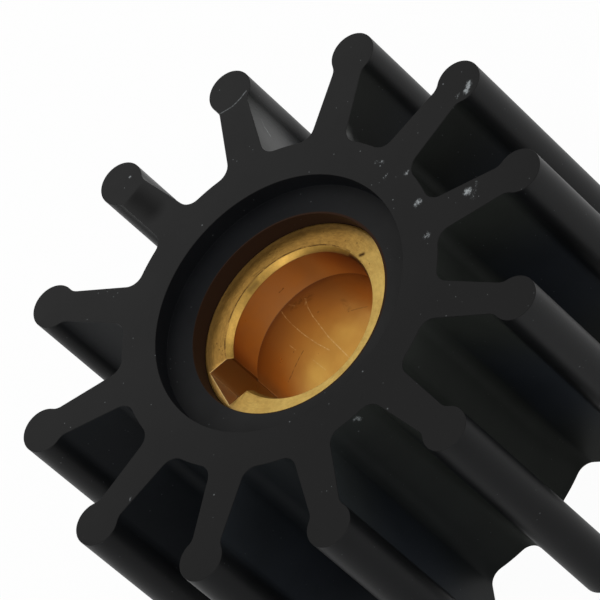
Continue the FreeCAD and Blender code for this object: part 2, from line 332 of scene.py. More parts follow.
def build_bush(sizes, material):
    """Bush: a section turned round the shaft, its keyway broached and its corners broken."""
    bm = bmesh.new()
    front, rear = sizes.front_height, sizes.rear_height
    bore, relief = sizes.bore_radius, sizes.bore_radius + sizes.relief_depth
    mouth, chamfer, land = bore + sizes.chamfer_width, sizes.chamfer_depth, sizes.land_length
    shoulder = sizes.outer_radius - sizes.front_round

    first = bm.verts.new((mouth, 0, front))
    point = line_from(bm, first, (shoulder, 0, front))
    point = arc_from(bm, point, (shoulder, 0, front - sizes.front_round),
                     math.pi / 2, SHOULDER_STEPS, axis=(0, 1, 0))
    for radius, height in (
            (sizes.outer_radius, rear + sizes.rear_chamfer),
            (sizes.outer_radius - sizes.rear_chamfer, rear),
            (mouth, rear),
            (bore, rear + chamfer),
            (bore, rear + land),
            (relief, rear + land + sizes.relief_depth),
            (relief, front - land - sizes.relief_depth),
            (bore, front - land),
            (bore, front - chamfer)):
        point = line_from(bm, point, (radius, 0, height))
    bm.edges.new((point, first))
    bmesh.ops.spin(bm, geom=bm.verts[:] + bm.edges[:], cent=ORIGIN, axis=UP,
                   angle=WHOLE_TURN, steps=TURNED_STEPS, use_merge=True, use_duplicate=False)
    bmesh.ops.remove_doubles(bm, verts=bm.verts, dist=FINE_WELD)
    front_mouth = [vertex for vertex in bm.verts if vertex.co.z > front - FINE_WELD
                   and vertex.co.xy.length < mouth + FINE_WELD]
    bmesh.ops.translate(bm, verts=front_mouth,
                        vec=(sizes.chamfer_shift_x, sizes.chamfer_shift_y, 0))
    bmesh.ops.recalc_face_normals(bm, faces=bm.faces)
    blank = finish_object("bush_blank", bm, material)

    cutter_mesh = bmesh.new()
    inner, floor = bore / 2, sizes.keyway_floor
    place = (Matrix.Rotation(sizes.keyway_angle, 4, "Z")
             @ Matrix.Translation(((floor + inner) / 2, 0, (front + rear) / 2))
             @ Matrix.Diagonal((floor - inner, sizes.keyway_width, 2 * front, 1)))
    bmesh.ops.create_cube(cutter_mesh, size=1.0, matrix=place)
    cutter = finish_object("broach", cutter_mesh, material)

    blank.modifiers.clear()
    broach = blank.modifiers.new("keyway", "BOOLEAN")
    broach.operation = "DIFFERENCE"
    broach.solver = "EXACT"
    broach.object = cutter
    depsgraph = bpy.context.evaluated_depsgraph_get()
    cut = bmesh.new()
    cut.from_object(blank, depsgraph)
    bpy.data.objects.remove(cutter)
    bpy.data.objects.remove(blank)
    bmesh.ops.remove_doubles(cut, verts=cut.verts, dist=FINE_WELD)
    sharp = [edge for edge in cut.edges if edge.calc_face_angle(0) > BRASS_EDGE]
    # The broach left the long corners between keyway and bore sharp: only the edges that
    # lie across the shaft, or outside the relief, are broken
    for edge in sharp:
        low, high = (vertex.co for vertex in edge.verts)
        outermost = max(low.xy.length, high.xy.length)
        edge.smooth = abs(high.z - low.z) < MM or outermost > relief + MM / 10
    broken = [edge for edge in sharp if edge.smooth]
    bmesh.ops.bevel(cut, geom=broken, offset=sizes.burr_round, affect="EDGES",
                    segments=BURR_SEGMENTS, profile=0.5, material=-1, clamp_overlap=True)
    return finish_object("turned_bush", cut, material)


# Kinds of node that come back often, and their settings. A colour mix takes its two colours
# at inputs 6 and 7 and gives its result at output 2. The patterns read a place in millimetres,
# so a Scale is how many of their grains go to the millimetre: 4.0 for a grain of 0.25 mm.
MATH = "ShaderNodeMath"
VECTOR_MATH = "ShaderNodeVectorMath"
MAP_RANGE = "ShaderNodeMapRange"
MIX = "ShaderNodeMix"
NOISE = "ShaderNodeTexNoise"
MULTIPLY = {"operation": "MULTIPLY"}
MULTIPLY_ADD = {"operation": "MULTIPLY_ADD"}
SUBTRACT = {"operation": "SUBTRACT"}
MAXIMUM = {"operation": "MAXIMUM"}
ABSOLUTE = {"operation": "ABSOLUTE"}
LESS_THAN = {"operation": "LESS_THAN"}
SCALE = {"operation": "SCALE"}
LENGTH = {"operation": "LENGTH"}
DISTANCE = {"operation": "DISTANCE"}
DOT_PRODUCT = {"operation": "DOT_PRODUCT"}
SMOOTH = {"interpolation_type": "SMOOTHSTEP"}
RGBA = {"data_type": "RGBA"}
ONE_WAY = {"noise_dimensions": "1D"}
# Keeps X and Y and drops Z
LEVEL = (1, 1, 0)


def add_node(tree, kind, settings=None, inputs=None):
    """Add a node, set its properties, and set or link its inputs.

    A node given as an input stands for its first output.
    """
    node = tree.nodes.new(kind)
    for name, value in (settings or {}).items():
        setattr(node, name, value)
    for socket, value in (inputs or {}).items():
        if isinstance(value, bpy.types.Node):
            value = value.outputs[0]
        if isinstance(value, bpy.types.NodeSocket):
            tree.links.new(value, node.inputs[socket])
        else:
            node.inputs[socket].default_value = value
    return node


def new_material(name):
    material = bpy.data.materials.new(name)
    material.use_nodes = True
    tree = material.node_tree
    tree.nodes.clear()
    return material, tree


def stroke_mask(tree, place, points, half_width, strength):
    """Full strength along a line through the points, 0 beyond its half width."""
    nearest = None
    points = [Vector(point).to_3d() for point in points]
    for start, end in zip(points, points[1:]):
        along = end - start
        from_start = add_node(tree, VECTOR_MATH, SUBTRACT, {0: place, 1: start})
        share = add_node(tree, VECTOR_MATH, DOT_PRODUCT, {
            0: from_start, 1: along / along.length_squared})
        held = add_node(tree, "ShaderNodeClamp", None, {"Value": share.outputs["Value"]})
        foot = add_node(tree, VECTOR_MATH, SCALE, {0: along, "Scale": held})
        away = add_node(tree, VECTOR_MATH, DISTANCE, {0: from_start, 1: foot}).outputs["Value"]
        if nearest is not None:
            away = add_node(tree, MATH, {"operation": "MINIMUM"}, {0: nearest, 1: away})
        nearest = away
    return add_node(tree, MAP_RANGE, SMOOTH, {
        "Value": nearest, "From Min": half_width, "From Max": 0.0, "To Max": strength})


def strongest(tree, masks):
    """Highest of several masks at each point."""
    highest, *others = masks
    for mask in others:
        highest = add_node(tree, MATH, MAXIMUM, {0: highest, 1: mask})
    return highest


def strokes_mask(tree, place, strokes):
    """Strongest of several strokes, each given as its points, half width and strength."""
    return strongest(tree, [stroke_mask(tree, place, *stroke) for stroke in strokes])


def spots_mask(tree, place, spots):
    """Strongest of several soft round spots, each given as its centre, radius and strength."""
    masks = []
    for centre, radius, strength in spots:
        away = add_node(tree, VECTOR_MATH, DISTANCE, {0: place, 1: Vector(centre).to_3d()})
        masks.append(add_node(tree, MAP_RANGE, SMOOTH, {
            "Value": away.outputs["Value"], "From Min": radius, "From Max": 0.0,
            "To Max": strength}))
    return strongest(tree, masks)


def specks_mask(tree, place, sizes, share):
    """Small round specks in a share of the cells, given their cells to the mm and radius."""
    per_mm, radius = sizes
    cells = add_node(tree, "ShaderNodeTexVoronoi", None, {"Vector": place, "Scale": per_mm})
    dot = add_node(tree, MAP_RANGE, SMOOTH, {
        "Value": cells.outputs["Distance"], "From Min": radius * per_mm,
        "From Max": radius * per_mm * SPECK_CORE})
    chosen = add_node(tree, MATH, LESS_THAN, {0: cells.outputs["Color"], 1: share})
    return add_node(tree, MATH, MULTIPLY, {0: dot, 1: chosen})


# Cells to the millimetre and radius of the specks
DUST = (0.6, 0.11)
FINE_DUST = (1.5, 0.07)
BRASS_SPECKS = (1.4, 0.11)
# Share of a speck's radius that has its full strength
SPECK_CORE = 0.4
# Millimetres to either side of a wall that still count as that wall
WALL_SKIN = 0.05

# Marks on the rubber, all in millimetres. Scuffs are strokes with their half width and strength.
SCUFFS = (
    (((-1.3, -28.1, 30.5), (-1.7, -27.3, 30.5)), 0.75, 0.9),
    (((-10.35, -19.4, 30.5), (-10.45, -19.5, 30.5)), 1.0, 0.9),
    (((-10.5, -20.7, 30.5), (-11.5, -19.2, 30.5)), 0.7, 0.5),
    (((-6.15, -15.6, 30.5), (-6.2, -16.0, 30.5)), 0.8, 0.8),
    (((-9.9, -13.65, 30.5), (-9.9, -13.8, 30.5)), 0.8, 0.75),
    (((-2.45, -17.4, 30.5), (-2.45, -17.6, 30.5)), 0.6, 0.7),
    (((-17.3, 4.0, 29.6), (-17.8, 4.5, 30.2)), 0.85, 0.72),
    (((-1.2, 23.5, 30.5), (-1.6, 24.0, 30.4)), 0.35, 0.55),
    (((1.7, -16.6, 30.5), (1.0, -17.1, 30.5)), 0.6, 0.5),
    (((-0.45, -16.4, 30.5), (-0.57, -15.8, 30.5)), 0.5, 0.5),
    (((27.17, -1.04, 30.5), (27.2, -1.0, 30.5)), 0.3, 1.0),
    (((-1.08, -26.6, 30.5), (-1.25, -26.3, 30.5)), 0.5, 0.6),
)
# Flecks lie thicker round these places
FLECKED = (
    ((-10.9, -19.6, 30.5), 2.4, 1.0),
    ((-1.6, -26.9, 30.5), 1.8, 1.0),
    ((0.0, -16.4, 30.5), 2.2, 1.0),
    ((13.8, -23.9, 30.5), 2.4, 0.8),
    ((-6.4, -15.8, 30.5), 1.4, 0.9),
)
# Crease across the end of the second vane where its bead starts, a smear on its side,
# and a painted highlight along its edge
LINES = (
    (((23.0, -11.3, 30.5), (22.6, -12.0, 30.5), (22.2, -12.8, 30.5)), 0.1, 0.35),
    (((22.2, -12.8, 30.5), (22.07, -13.8, 30.5), (22.1, -14.8, 30.5)), 0.11, 0.5),
    (((20.0, -13.63, 28.4), (19.2, -13.16, 28.13)), 0.15, 0.35),
    (((19.2, -13.16, 28.13), (18.9, -12.98, 27.7), (18.65, -12.85, 27.3)), 0.2, 0.65),
    (((21.4, -14.2, 30.4), (16.9, -11.6, 30.4)), 0.11, 0.5),
    (((16.9, -11.6, 30.4), (15.9, -11.4, 30.4), (14.8, -12.1, 30.4)), 0.1, 0.3),
)
# Oily film on the side of the second vane, the bead of the first,
# and the root edge in the gap after the third
OILY = (
    ((17.7, -12.5, 26.5), 7.5, 1.0),
    ((27.0, -2.4, 28.5), 4.5, 1.0),
    ((8.9, -16.4, 30.2), 1.7, 0.8),
    ((6.9, -17.3, 30.4), 1.7, 1.0),
)
# Painted shade, where the rubber is also left without sheen: down the neck of the last vane,
# and deep on the hub in two of the gaps
PAINTED_SHADE_STROKES = (
    (((23.5, 14.5, 31.0), (23.5, 14.5, 6.0)), 8.0, 0.4),
    (((-5.5, -17.2, 24.0), (-5.5, -17.2, 8.0)), 4.5, 1.0),
    (((-14.8, -10.7, 23.5), (-14.8, -10.7, 8.0)), 4.0, 1.0),
)
# Dark patch of painted shade on the end of the first vane, cut off where its bead starts
SHADE_PATCH = (((24.6, 0.2, 30.5), (21.8, 0.2, 30.5)), 2.1, 0.6)
SHADE_PATCH_TO, SHADE_PATCH_FADE = 25.3, 0.15
# Way from the near side to the far side, where painted shade darkens the hub and the vane sides
FAR_SIDE = (0.35, 0.94, 0)
# How much noise frays the scuffs, and their level and that of their full strength
FRAY, SCUFF_FROM, SCUFF_TO = 2.2, 1.55, 2.2
# What clouds add to the roughness, and what the oily film adds to the sheen
CLOUD_GLOSS, FILM_SHEEN = 0.12, 0.6


def moulded_rubber(settings):
    # Black nitrile rubber: sides and recess polished by the mould, so they shine at a glancing
    # view, and ends ground flat, so they stay an even dull dark grey that shows dust.
    material, tree = new_material("moulded_nitrile_rubber")
    add = partial(add_node, tree)
    coordinates = add("ShaderNodeTexCoord")
    place = add(VECTOR_MATH, SCALE, {0: coordinates.outputs["Object"], "Scale": 1 / MM})
    x, y, z = add("ShaderNodeSeparateXYZ", None, {0: place}).outputs
    height = settings.front_height / MM
    off_middle = add(MATH, SUBTRACT, {0: z, 1: height / 2})
    off_middle = add(MATH, ABSOLUTE, {0: off_middle})
    is_end = add(MAP_RANGE, SMOOTH, {
        "Value": off_middle, "From Min": height / 2 - 0.12, "From Max": height / 2 - 0.02})

    clouds = add(NOISE, None, {"Vector": place, "Scale": 0.12, "Detail": 4.0, "Roughness": 0.6})
    grain = add(NOISE, None, {"Vector": place, "Scale": 4.0, "Detail": 4.0, "Roughness": 0.65})
    out = add(VECTOR_MATH, MULTIPLY, {0: place, 1: LEVEL})
    radius = add(VECTOR_MATH, LENGTH, {0: out}).outputs["Value"]
    bead_start = (settings.tip_radius - 2 * settings.bead_radius) / MM
    is_bead = add(MAP_RANGE, SMOOTH, {
        "Value": radius, "From Min": bead_start, "From Max": bead_start + 2.0})
    in_recess = add(MATH, LESS_THAN, {0: radius, 1: settings.recess_radius / MM + WALL_SKIN})

    # Fine dust and painted light grey the mouths of the gaps and the hub, less towards +Y, where
    # painted shade keeps them dark
    near_end = add(MAP_RANGE, SMOOTH, {"Value": off_middle, "From Min": 2.0, "From Max": 13.0})
    on_hub = add(MAP_RANGE, SMOOTH, {
        "Value": radius, "From Min": settings.hub_radius / MM + 2.2,
        "From Max": settings.hub_radius / MM + 0.5})
    greyed = add(MATH, MAXIMUM, {0: near_end, 1: on_hub})
    painted_lit_side = add(MAP_RANGE, None, {
        "Value": y, "From Min": 2.0, "From Max": 16.0, "To Min": 1.0, "To Max": 0.2})
    greyed = add(MATH, MULTIPLY, {0: greyed, 1: painted_lit_side})
    base = add(MIX, RGBA, {
        "Factor": greyed, 6: settings.side_colour, 7: settings.gap_colour}).outputs[2]
    # Painted shade darkens the hub towards +Y, and hub and sides towards the far side; painted
    # light lightens the near side
    hub_painted_shade = add(MAP_RANGE, None, {
        "Value": painted_lit_side, "From Min": 1.0, "From Max": 0.2, "To Min": 1.0, "To Max": 0.75})
    hub_painted_shade = add(MAP_RANGE, None, {"Value": on_hub, "To Min": 1.0, "To Max": hub_painted_shade})
    far = add(VECTOR_MATH, DOT_PRODUCT, {0: place, 1: FAR_SIDE})
    far = add(MAP_RANGE, None, {
        "Value": far.outputs["Value"], "From Min": 16.0, "From Max": 24.0, "To Min": 1.0,
        "To Max": 0.65})
    hub_painted_shade = add(MATH, MULTIPLY, {0: hub_painted_shade, 1: far})
    near_painted_light = add(MAP_RANGE, None, {
        "Value": x, "From Min": -5.0, "From Max": -18.0, "To Min": 1.0, "To Max": 1.85})
    painted_light_and_shade = add(MATH, MULTIPLY, {0: hub_painted_shade, 1: near_painted_light})
    base = add(VECTOR_MATH, SCALE, {0: base, "Scale": painted_light_and_shade})
    base = add(MIX, RGBA, {"Factor": is_bead, 6: base, 7: settings.bead_colour}).outputs[2]
    # Painted shade down the neck of the last vane and deep on the hub in two gaps
    painted_shade_mask = strokes_mask(tree, place, PAINTED_SHADE_STROKES)
    painted_shade_scale = add(MAP_RANGE, None, {"Value": painted_shade_mask, "To Min": 1.0, "To Max": 0.5})
    base = add(VECTOR_MATH, SCALE, {0: base, "Scale": painted_shade_scale})

    # Recess and end faces, each lighter to one side with painted light
    recess_painted_light = add(MAP_RANGE, None, {"Value": x, "From Min": -5.0, "From Max": 12.0})
    on_wall = add(MATH, {"operation": "GREATER_THAN"}, {
        0: radius, 1: settings.recess_radius / MM - WALL_SKIN})
    recess_painted_light = add(MATH, MAXIMUM, {0: recess_painted_light, 1: on_wall})
    recess = add(MIX, RGBA, {
        "Factor": recess_painted_light, 6: settings.painted_lit_recess_colour, 7: settings.recess_colour}).outputs[2]
    base = add(MIX, RGBA, {"Factor": in_recess, 6: base, 7: recess}).outputs[2]
    end_painted_light = add(MAP_RANGE, None, {"Value": x, "From Min": -16.0, "From Max": 28.0})
    end = add(MIX, RGBA, {
        "Factor": end_painted_light, 6: settings.end_colour, 7: settings.painted_lit_end_colour}).outputs[2]
    base = add(MIX, RGBA, {"Factor": is_end, 6: base, 7: end}).outputs[2]
    shade = add(MAP_RANGE, None, {
        "Value": clouds, "From Min": 0.3, "From Max": 0.7, "To Min": 0.85, "To Max": 1.15})
    base = add(VECTOR_MATH, SCALE, {0: base, "Scale": shade})

    # Brown painted reflection of the brass on the wall that meets it
    browned = add(MATH, LESS_THAN, {0: radius, 1: settings.hole_radius / MM + 2 * WALL_SKIN})
    base = add(MIX, RGBA, {"Factor": browned, 6: base, 7: settings.dark_brown_colour}).outputs[2]

    # Dark patch of painted shade on the first vane's end
    inside = add(MAP_RANGE, SMOOTH, {
        "Value": x, "From Min": SHADE_PATCH_TO + SHADE_PATCH_FADE, "From Max": SHADE_PATCH_TO - SHADE_PATCH_FADE})
    dull = add(MATH, MULTIPLY, {0: stroke_mask(tree, place, *SHADE_PATCH), 1: inside})
    base = add(MIX, RGBA, {"Factor": dull, 6: base, 7: settings.shade_patch_colour}).outputs[2]

    # Frayed scuffs, specks of dust, creases and smears, and a painted highlight along an edge
    ragged = add(NOISE, None, {"Vector": place, "Scale": 4.5, "Detail": 6.0, "Roughness": 0.8})
    scuffed = add(MATH, MULTIPLY_ADD, {0: ragged, 1: FRAY, 2: strokes_mask(tree, place, SCUFFS)})
    scuffed = add(MAP_RANGE, SMOOTH, {
        "Value": scuffed, "From Min": SCUFF_FROM, "From Max": SCUFF_TO, "To Max": 0.8})
    thicker = spots_mask(tree, place, FLECKED)
    share = add(MAP_RANGE, None, {"Value": thicker, "To Min": 0.3, "To Max": 0.75})
    specks = strongest(tree, [specks_mask(tree, place, sizes, share)
                              for sizes in (DUST, FINE_DUST)])
    strength = add(MAP_RANGE, None, {"Value": is_end, "To Min": 0.15, "To Max": 0.3})
    dusty = add(MATH, MULTIPLY, {0: specks, 1: strength})
    worn = add(MAP_RANGE, None, {
        "Value": ragged, "From Min": 0.42, "From Max": 0.6, "To Min": 0.15})
    creases_and_painted_highlight = add(MATH, MULTIPLY, {0: strokes_mask(tree, place, LINES), 1: worn})
    marked = strongest(tree, [dusty, scuffed, creases_and_painted_highlight])
    base = add(MIX, RGBA, {"Factor": marked, 6: base, 7: settings.dust_and_highlight_colour}).outputs[2]

    # Oily film lies on the sides alone, and the ends are the roughest
    filmed = add(MAP_RANGE, None, {
        "Value": is_end, "To Min": spots_mask(tree, place, OILY), "To Max": 0.0})
    shine = add(MAP_RANGE, None, {"Value": is_bead, "To Min": 0.42, "To Max": 0.36})
    shine = add(MAP_RANGE, None, {"Value": is_end, "To Min": shine, "To Max": 0.6})
    roughness = add(MATH, MULTIPLY_ADD, {0: clouds, 1: CLOUD_GLOSS, 2: shine})
    bump = add("ShaderNodeBump", None, {"Height": grain, "Strength": 0.5, "Distance": 0.02 * MM})
    # The beads run polished, the end shines a little where nothing dulls it, the walls least
    polished = add(MAP_RANGE, None, {
        "Value": y, "From Min": -14.0, "From Max": 2.0, "To Min": 0.18, "To Max": 0.09})
    sheen = add(MAP_RANGE, None, {"Value": is_bead, "To Min": 0.03, "To Max": polished})
    sheen_kept = add(MAP_RANGE, None, {"Value": painted_shade_mask, "To Min": 1.0, "To Max": 0.0})
    sheen = add(MATH, MULTIPLY, {0: sheen, 1: sheen_kept})
    end_sheen = add(MAP_RANGE, None, {"Value": dull, "To Min": 0.2, "To Max": 0.04})
    sheen = add(MIX, None, {"Factor": is_end, "A": sheen, "B": end_sheen})
    sheen = add(MATH, MULTIPLY_ADD, {0: filmed, 1: FILM_SHEEN, 2: sheen})
    shader = add("ShaderNodeBsdfPrincipled", None, {
        "Base Color": base, "Roughness": roughness, "Specular IOR Level": sheen, "Normal": bump})
    add("ShaderNodeOutputMaterial", None, {"Surface": shader})
    return material


# Marks in the bore: millimetres round the wall from the first vane, and down from the face
BORE_SCRATCHES = (
    (((-2.46, 6.35), (-1.94, 7.75), (-1.65, 9.0), (-1.49, 10.28), (-1.16, 12.64),
      (-1.07, 14.65), (-0.98, 16.85)), 0.08, 0.6),
    (((0.02, 5.39), (0.2, 6.4)), 0.08, 0.5),
    (((0.2, 6.4), (0.29, 7.58), (0.28, 8.6)), 0.07, 0.35),
    (((0.28, 8.6), (0.27, 9.75), (0.08, 12.04), (-0.24, 14.01)), 0.08, 0.6),
    (((-1.24, 6.18), (-0.95, 5.5)), 0.12, 0.25),
    (((-2.5, 6.52), (-2.0, 7.06)), 0.12, 0.25),
    (((2.01, 8.92), (1.94, 10.11)), 0.08, 0.4),
    (((1.54, 13.02), (1.49, 14.55), (1.46, 15.3)), 0.07, 0.35),
)
BORE_DARK_MARKS = (
    (((-1.81, 3.15), (-1.22, 3.18)), 0.12, 0.8),
    (((1.51, 11.1), (2.93, 11.09), (4.26, 10.98), (5.13, 10.72)), 0.1, 0.6),
    (((-2.35, 9.03), (-2.3, 9.05)), 0.15, 0.6),
    (((-4.43, 11.42), (-6.41, 11.79)), 0.1, 0.6),
    (((-5.04, 9.48), (-4.63, 11.25)), 0.5, 0.25),
    (((-2.7, 6.5), (-1.9, 6.3), (-1.1, 6.0)), 0.9, 0.4),
)
# Painted highlights where two lobes of light fall deep in the relief, with radius and strength
BORE_LOBES = (
    ((-2.63, 13.66), 2.5, 0.3),
    ((2.6, 14.61), 2.8, 0.6),
)
# Band of painted shade on the bore beside the keyway
KEYWAY_SHADE = (((7.93, 0.3), (7.93, 12.0)), 1.9, 0.6)
# Marks on the face
FACE_PITS = (
    (((-0.62, -8.7, 26.4), (-0.84, -8.96, 26.4)), 0.36, 1.0),
    (((0.78, -9.47, 26.4), (0.76, -9.47, 26.4)), 0.13, 0.6),
    (((0.61, -9.94, 26.4), (0.6, -9.92, 26.4)), 0.12, 0.5),
    (((0.22, -9.27, 26.4), (0.24, -9.27, 26.4)), 0.11, 0.5),
    (((-1.2, -9.8, 26.4), (-1.25, -9.7, 26.4)), 0.5, 0.25),
    (((8.6, 0.9, 26.4), (8.55, -0.1, 26.4), (8.6, -1.0, 26.4)), 0.3, 0.45),
    (((8.95, -0.8, 26.4), (8.5, -2.2, 26.4)), 0.16, 0.4),
    (((8.25, 0.5, 26.2), (8.2, -0.4, 26.2)), 0.6, 0.45),
    (((6.93, 6.64, 26.4), (6.93, 6.65, 26.4)), 0.15, 0.7),
    (((6.13, 6.92, 26.4), (6.13, 6.93, 26.4)), 0.13, 0.6),
    (((5.71, 6.83, 26.4), (5.71, 6.84, 26.4)), 0.13, 0.6),
)
# Painted highlights along the broken edges round the mouth of the keyway
FACE_EDGE_HIGHLIGHTS = (
    (((0.25, 10.6, 26.4), (4.7, 9.4, 26.4)), 0.14, 0.6),
    (((5.08, 9.3, 26.4), (4.49, 7.1, 26.4)), 0.1, 0.4),
)
# Brass of the relief by its depth, as a share of RAMP_DEPTH, painted with shade under the land's
# edge and with light that grows deeper down; above it comes the front land
RAMP_DEPTH = 20.0
LAND_END = 0.246
RELIEF_COLOURS = (
    (0.25, "#74431c"), (0.265, "#85552a"), (0.3, "#96642e"), (0.5, "#ba8038"), (0.8, "#d39d4a"))
# Radius of the circle on which the grain of the face is read: the smaller, the longer the grain
GRAIN_CIRCLE = 4.0
# The tool's line: how far outside the lead-in, and how much the patina bends it
LINE_OFFSET, LINE_WAVE = 0.24, 0.3
SPECK_STRENGTH = 0.55
# What the unrubbed side adds to the patina where it sets the roughness
UNRUBBED_DULLNESS = 0.12


def turned_brass(settings):
    # Brass turned on a lathe: fine rings on the face, a bright broken corner with painted
    # highlights at the keyway, and a bore painted brown with shade that turns golden deep down with
    # painted light.
    material, tree = new_material("turned_brass")
    add = partial(add_node, tree)
    coordinates = add("ShaderNodeTexCoord")
    place = add(VECTOR_MATH, SCALE, {0: coordinates.outputs["Object"], "Scale": 1 / MM})
    x, y, z = add("ShaderNodeSeparateXYZ", None, {0: place}).outputs
    axes = add("ShaderNodeSeparateXYZ", None, {0: coordinates.outputs["Normal"]})
    out = add(VECTOR_MATH, MULTIPLY, {0: place, 1: LEVEL})
    radius = add(VECTOR_MATH, LENGTH, {0: out}).outputs["Value"]
    turn = add(MATH, {"operation": "ARCTAN2"}, {0: y, 1: x})
    round_wall = add(MATH, MULTIPLY, {0: turn, 1: settings.bore_radius / MM})
    depth = add(MATH, SUBTRACT, {0: settings.front_height / MM, 1: z})
    unrolled = add("ShaderNodeCombineXYZ", None, {"X": round_wall, "Y": depth})

    upright = add(MATH, ABSOLUTE, {0: axes.outputs["Z"]})
    is_wall = add(MAP_RANGE, SMOOTH, {"Value": upright, "From Min": 0.6, "From Max": 0.3})
    relief = (settings.bore_radius + settings.relief_depth) / MM
    is_keyway = add(MAP_RANGE, SMOOTH, {
        "Value": radius, "From Min": relief + 0.02, "From Max": relief + 0.1})

    # Painted light and shade down the bore: brown front land, dark edge of the relief, and golden
    # brass deeper down
    ramp_share = add(MATH, MULTIPLY, {0: depth, 1: 1 / RAMP_DEPTH})
    ramp = add("ShaderNodeValToRGB", None, {0: ramp_share})
    stops = ramp.color_ramp.elements
    stops[0].position, stops[0].color = LAND_END, settings.land_painted_shade_colour
    stops.remove(stops[1])
    for position, hex_code in RELIEF_COLOURS:
        stops.new(position).color = linear(hex_code)
    deeper = add(MAP_RANGE, None, {
        "Value": radius, "From Min": settings.bore_radius / MM + 0.2,
        "From Max": settings.keyway_floor / MM, "To Min": 1.0, "To Max": 1.1})
    keyway = add(VECTOR_MATH, SCALE, {0: settings.keyway_colour[:3], "Scale": deeper})
    wall = add(MIX, RGBA, {"Factor": is_keyway, 6: ramp, 7: keyway}).outputs[2]

    # Turned face with its brighter corners, and the marks of the feed down the bore
    rings = add(NOISE, ONE_WAY, {"W": radius, "Scale": 9.0, "Detail": 4.0, "Roughness": 0.7})
    feed = add(NOISE, ONE_WAY, {"W": depth, "Scale": 3.0, "Detail": 4.0, "Roughness": 0.7})
    patina = add(NOISE, None, {"Vector": place, "Scale": 0.5, "Detail": 8.0, "Roughness": 0.8})
    browned = add(MAP_RANGE, SMOOTH, {
        "Value": patina, "From Min": 0.4, "From Max": 0.65, "To Max": 0.4})
    is_flat = add(MAP_RANGE, SMOOTH, {"Value": upright, "From Min": 0.75, "From Max": 0.95})
    face = add(MIX, RGBA, {
        "Factor": is_flat, 6: settings.corner_colour, 7: settings.face_colour}).outputs[2]
    face = add(MIX, RGBA, {"Factor": browned, 6: face, 7: settings.tarnish_colour}).outputs[2]
    # One side of the face is tarnished, the other rubbed yellow
    unrubbed = add(MAP_RANGE, SMOOTH, {
        "Value": x, "From Min": -5.0, "From Max": 4.0, "To Max": 0.9})
    unrubbed = add(MATH, MULTIPLY, {0: unrubbed, 1: is_flat})
    face = add(MIX, RGBA, {"Factor": unrubbed, 6: face, 7: settings.tarnish_colour}).outputs[2]
    # Grain drawn out along the turning, by reading the noise on a smaller circle
    round_face = add(VECTOR_MATH, {"operation": "NORMALIZE"}, {0: out})
    upward = add("ShaderNodeCombineXYZ", None, {"Z": radius})
    along_turn = add(VECTOR_MATH, MULTIPLY_ADD, {0: round_face, 1: (GRAIN_CIRCLE,) * 3, 2: upward})
    grain = add(NOISE, None, {"Vector": along_turn, "Scale": 4.0, "Detail": 4.0, "Roughness": 0.75})
    darkest = add(MAP_RANGE, None, {"Value": unrubbed, "To Min": 0.93, "To Max": 0.68})
    grained = add(MAP_RANGE, None, {
        "Value": grain, "From Min": 0.35, "From Max": 0.62, "To Min": darkest, "To Max": 1.1})
    lighter = add(MAP_RANGE, None, {"Value": y, "From Min": -8.0, "From Max": 0.0, "To Max": 0.18})
    grained = add(MATH, MULTIPLY_ADD, {0: lighter, 1: unrubbed, 2: grained})
    face = add(VECTOR_MATH, SCALE, {0: face, "Scale": grained})
    base = add(MIX, RGBA, {"Factor": is_wall, 6: face, 7: wall}).outputs[2]

    # Broken dark line that the tool left beside the lead-in, on the side that nothing rubs
    from_lead_in = add(VECTOR_MATH, SUBTRACT, {
        0: out, 1: (settings.chamfer_shift_x / MM, settings.chamfer_shift_y / MM, 0)})
    from_lead_in = add(VECTOR_MATH, LENGTH, {0: from_lead_in})
    wavy = add(MATH, MULTIPLY_ADD, {0: patina, 1: LINE_WAVE, 2: from_lead_in.outputs["Value"]})
    off_line = add(MATH, SUBTRACT, {
        0: wavy, 1: (settings.bore_radius + settings.chamfer_width) / MM + LINE_OFFSET})
    off_line = add(MATH, ABSOLUTE, {0: off_line})
    on_line = add(MAP_RANGE, SMOOTH, {"Value": off_line, "From Min": 0.13, "From Max": 0.02})
    broken = add(NOISE, None, {"Vector": place, "Scale": 0.9, "Detail": 4.0, "Roughness": 0.8})
    broken = add(MAP_RANGE, SMOOTH, {
        "Value": broken, "From Min": 0.38, "From Max": 0.55, "To Max": 0.9})
    tool_line = add(MATH, MULTIPLY, {0: on_line, 1: broken})
    tool_line = add(MATH, MULTIPLY, {0: tool_line, 1: unrubbed})
    # Fine dark turning lines on the same side
    turned = add(MAP_RANGE, SMOOTH, {
        "Value": rings, "From Min": 0.45, "From Max": 0.7, "To Max": 0.15})
    turned = add(MATH, MULTIPLY, {0: turned, 1: unrubbed})
    speckled = add(MAP_RANGE, None, {"Value": unrubbed, "To Min": 0.12, "To Max": 0.5})
    specks = add(MATH, MULTIPLY, {
        0: specks_mask(tree, place, BRASS_SPECKS, speckled), 1: SPECK_STRENGTH})
    patchy = add(NOISE, None, {"Vector": unrolled, "Scale": 2.5, "Detail": 3.0, "Roughness": 0.7})
    patchy = add(MAP_RANGE, SMOOTH, {
        "Value": patchy, "From Min": 0.4, "From Max": 0.6, "To Min": 0.2})
    bore_marks = add(MATH, MULTIPLY, {0: strokes_mask(tree, unrolled, BORE_DARK_MARKS), 1: patchy})
    dark = strongest(tree, [
        tool_line, turned, specks, strokes_mask(tree, place, FACE_PITS), bore_marks])
    base = add(MIX, RGBA, {"Factor": dark, 6: base, 7: settings.dark_brown_colour}).outputs[2]
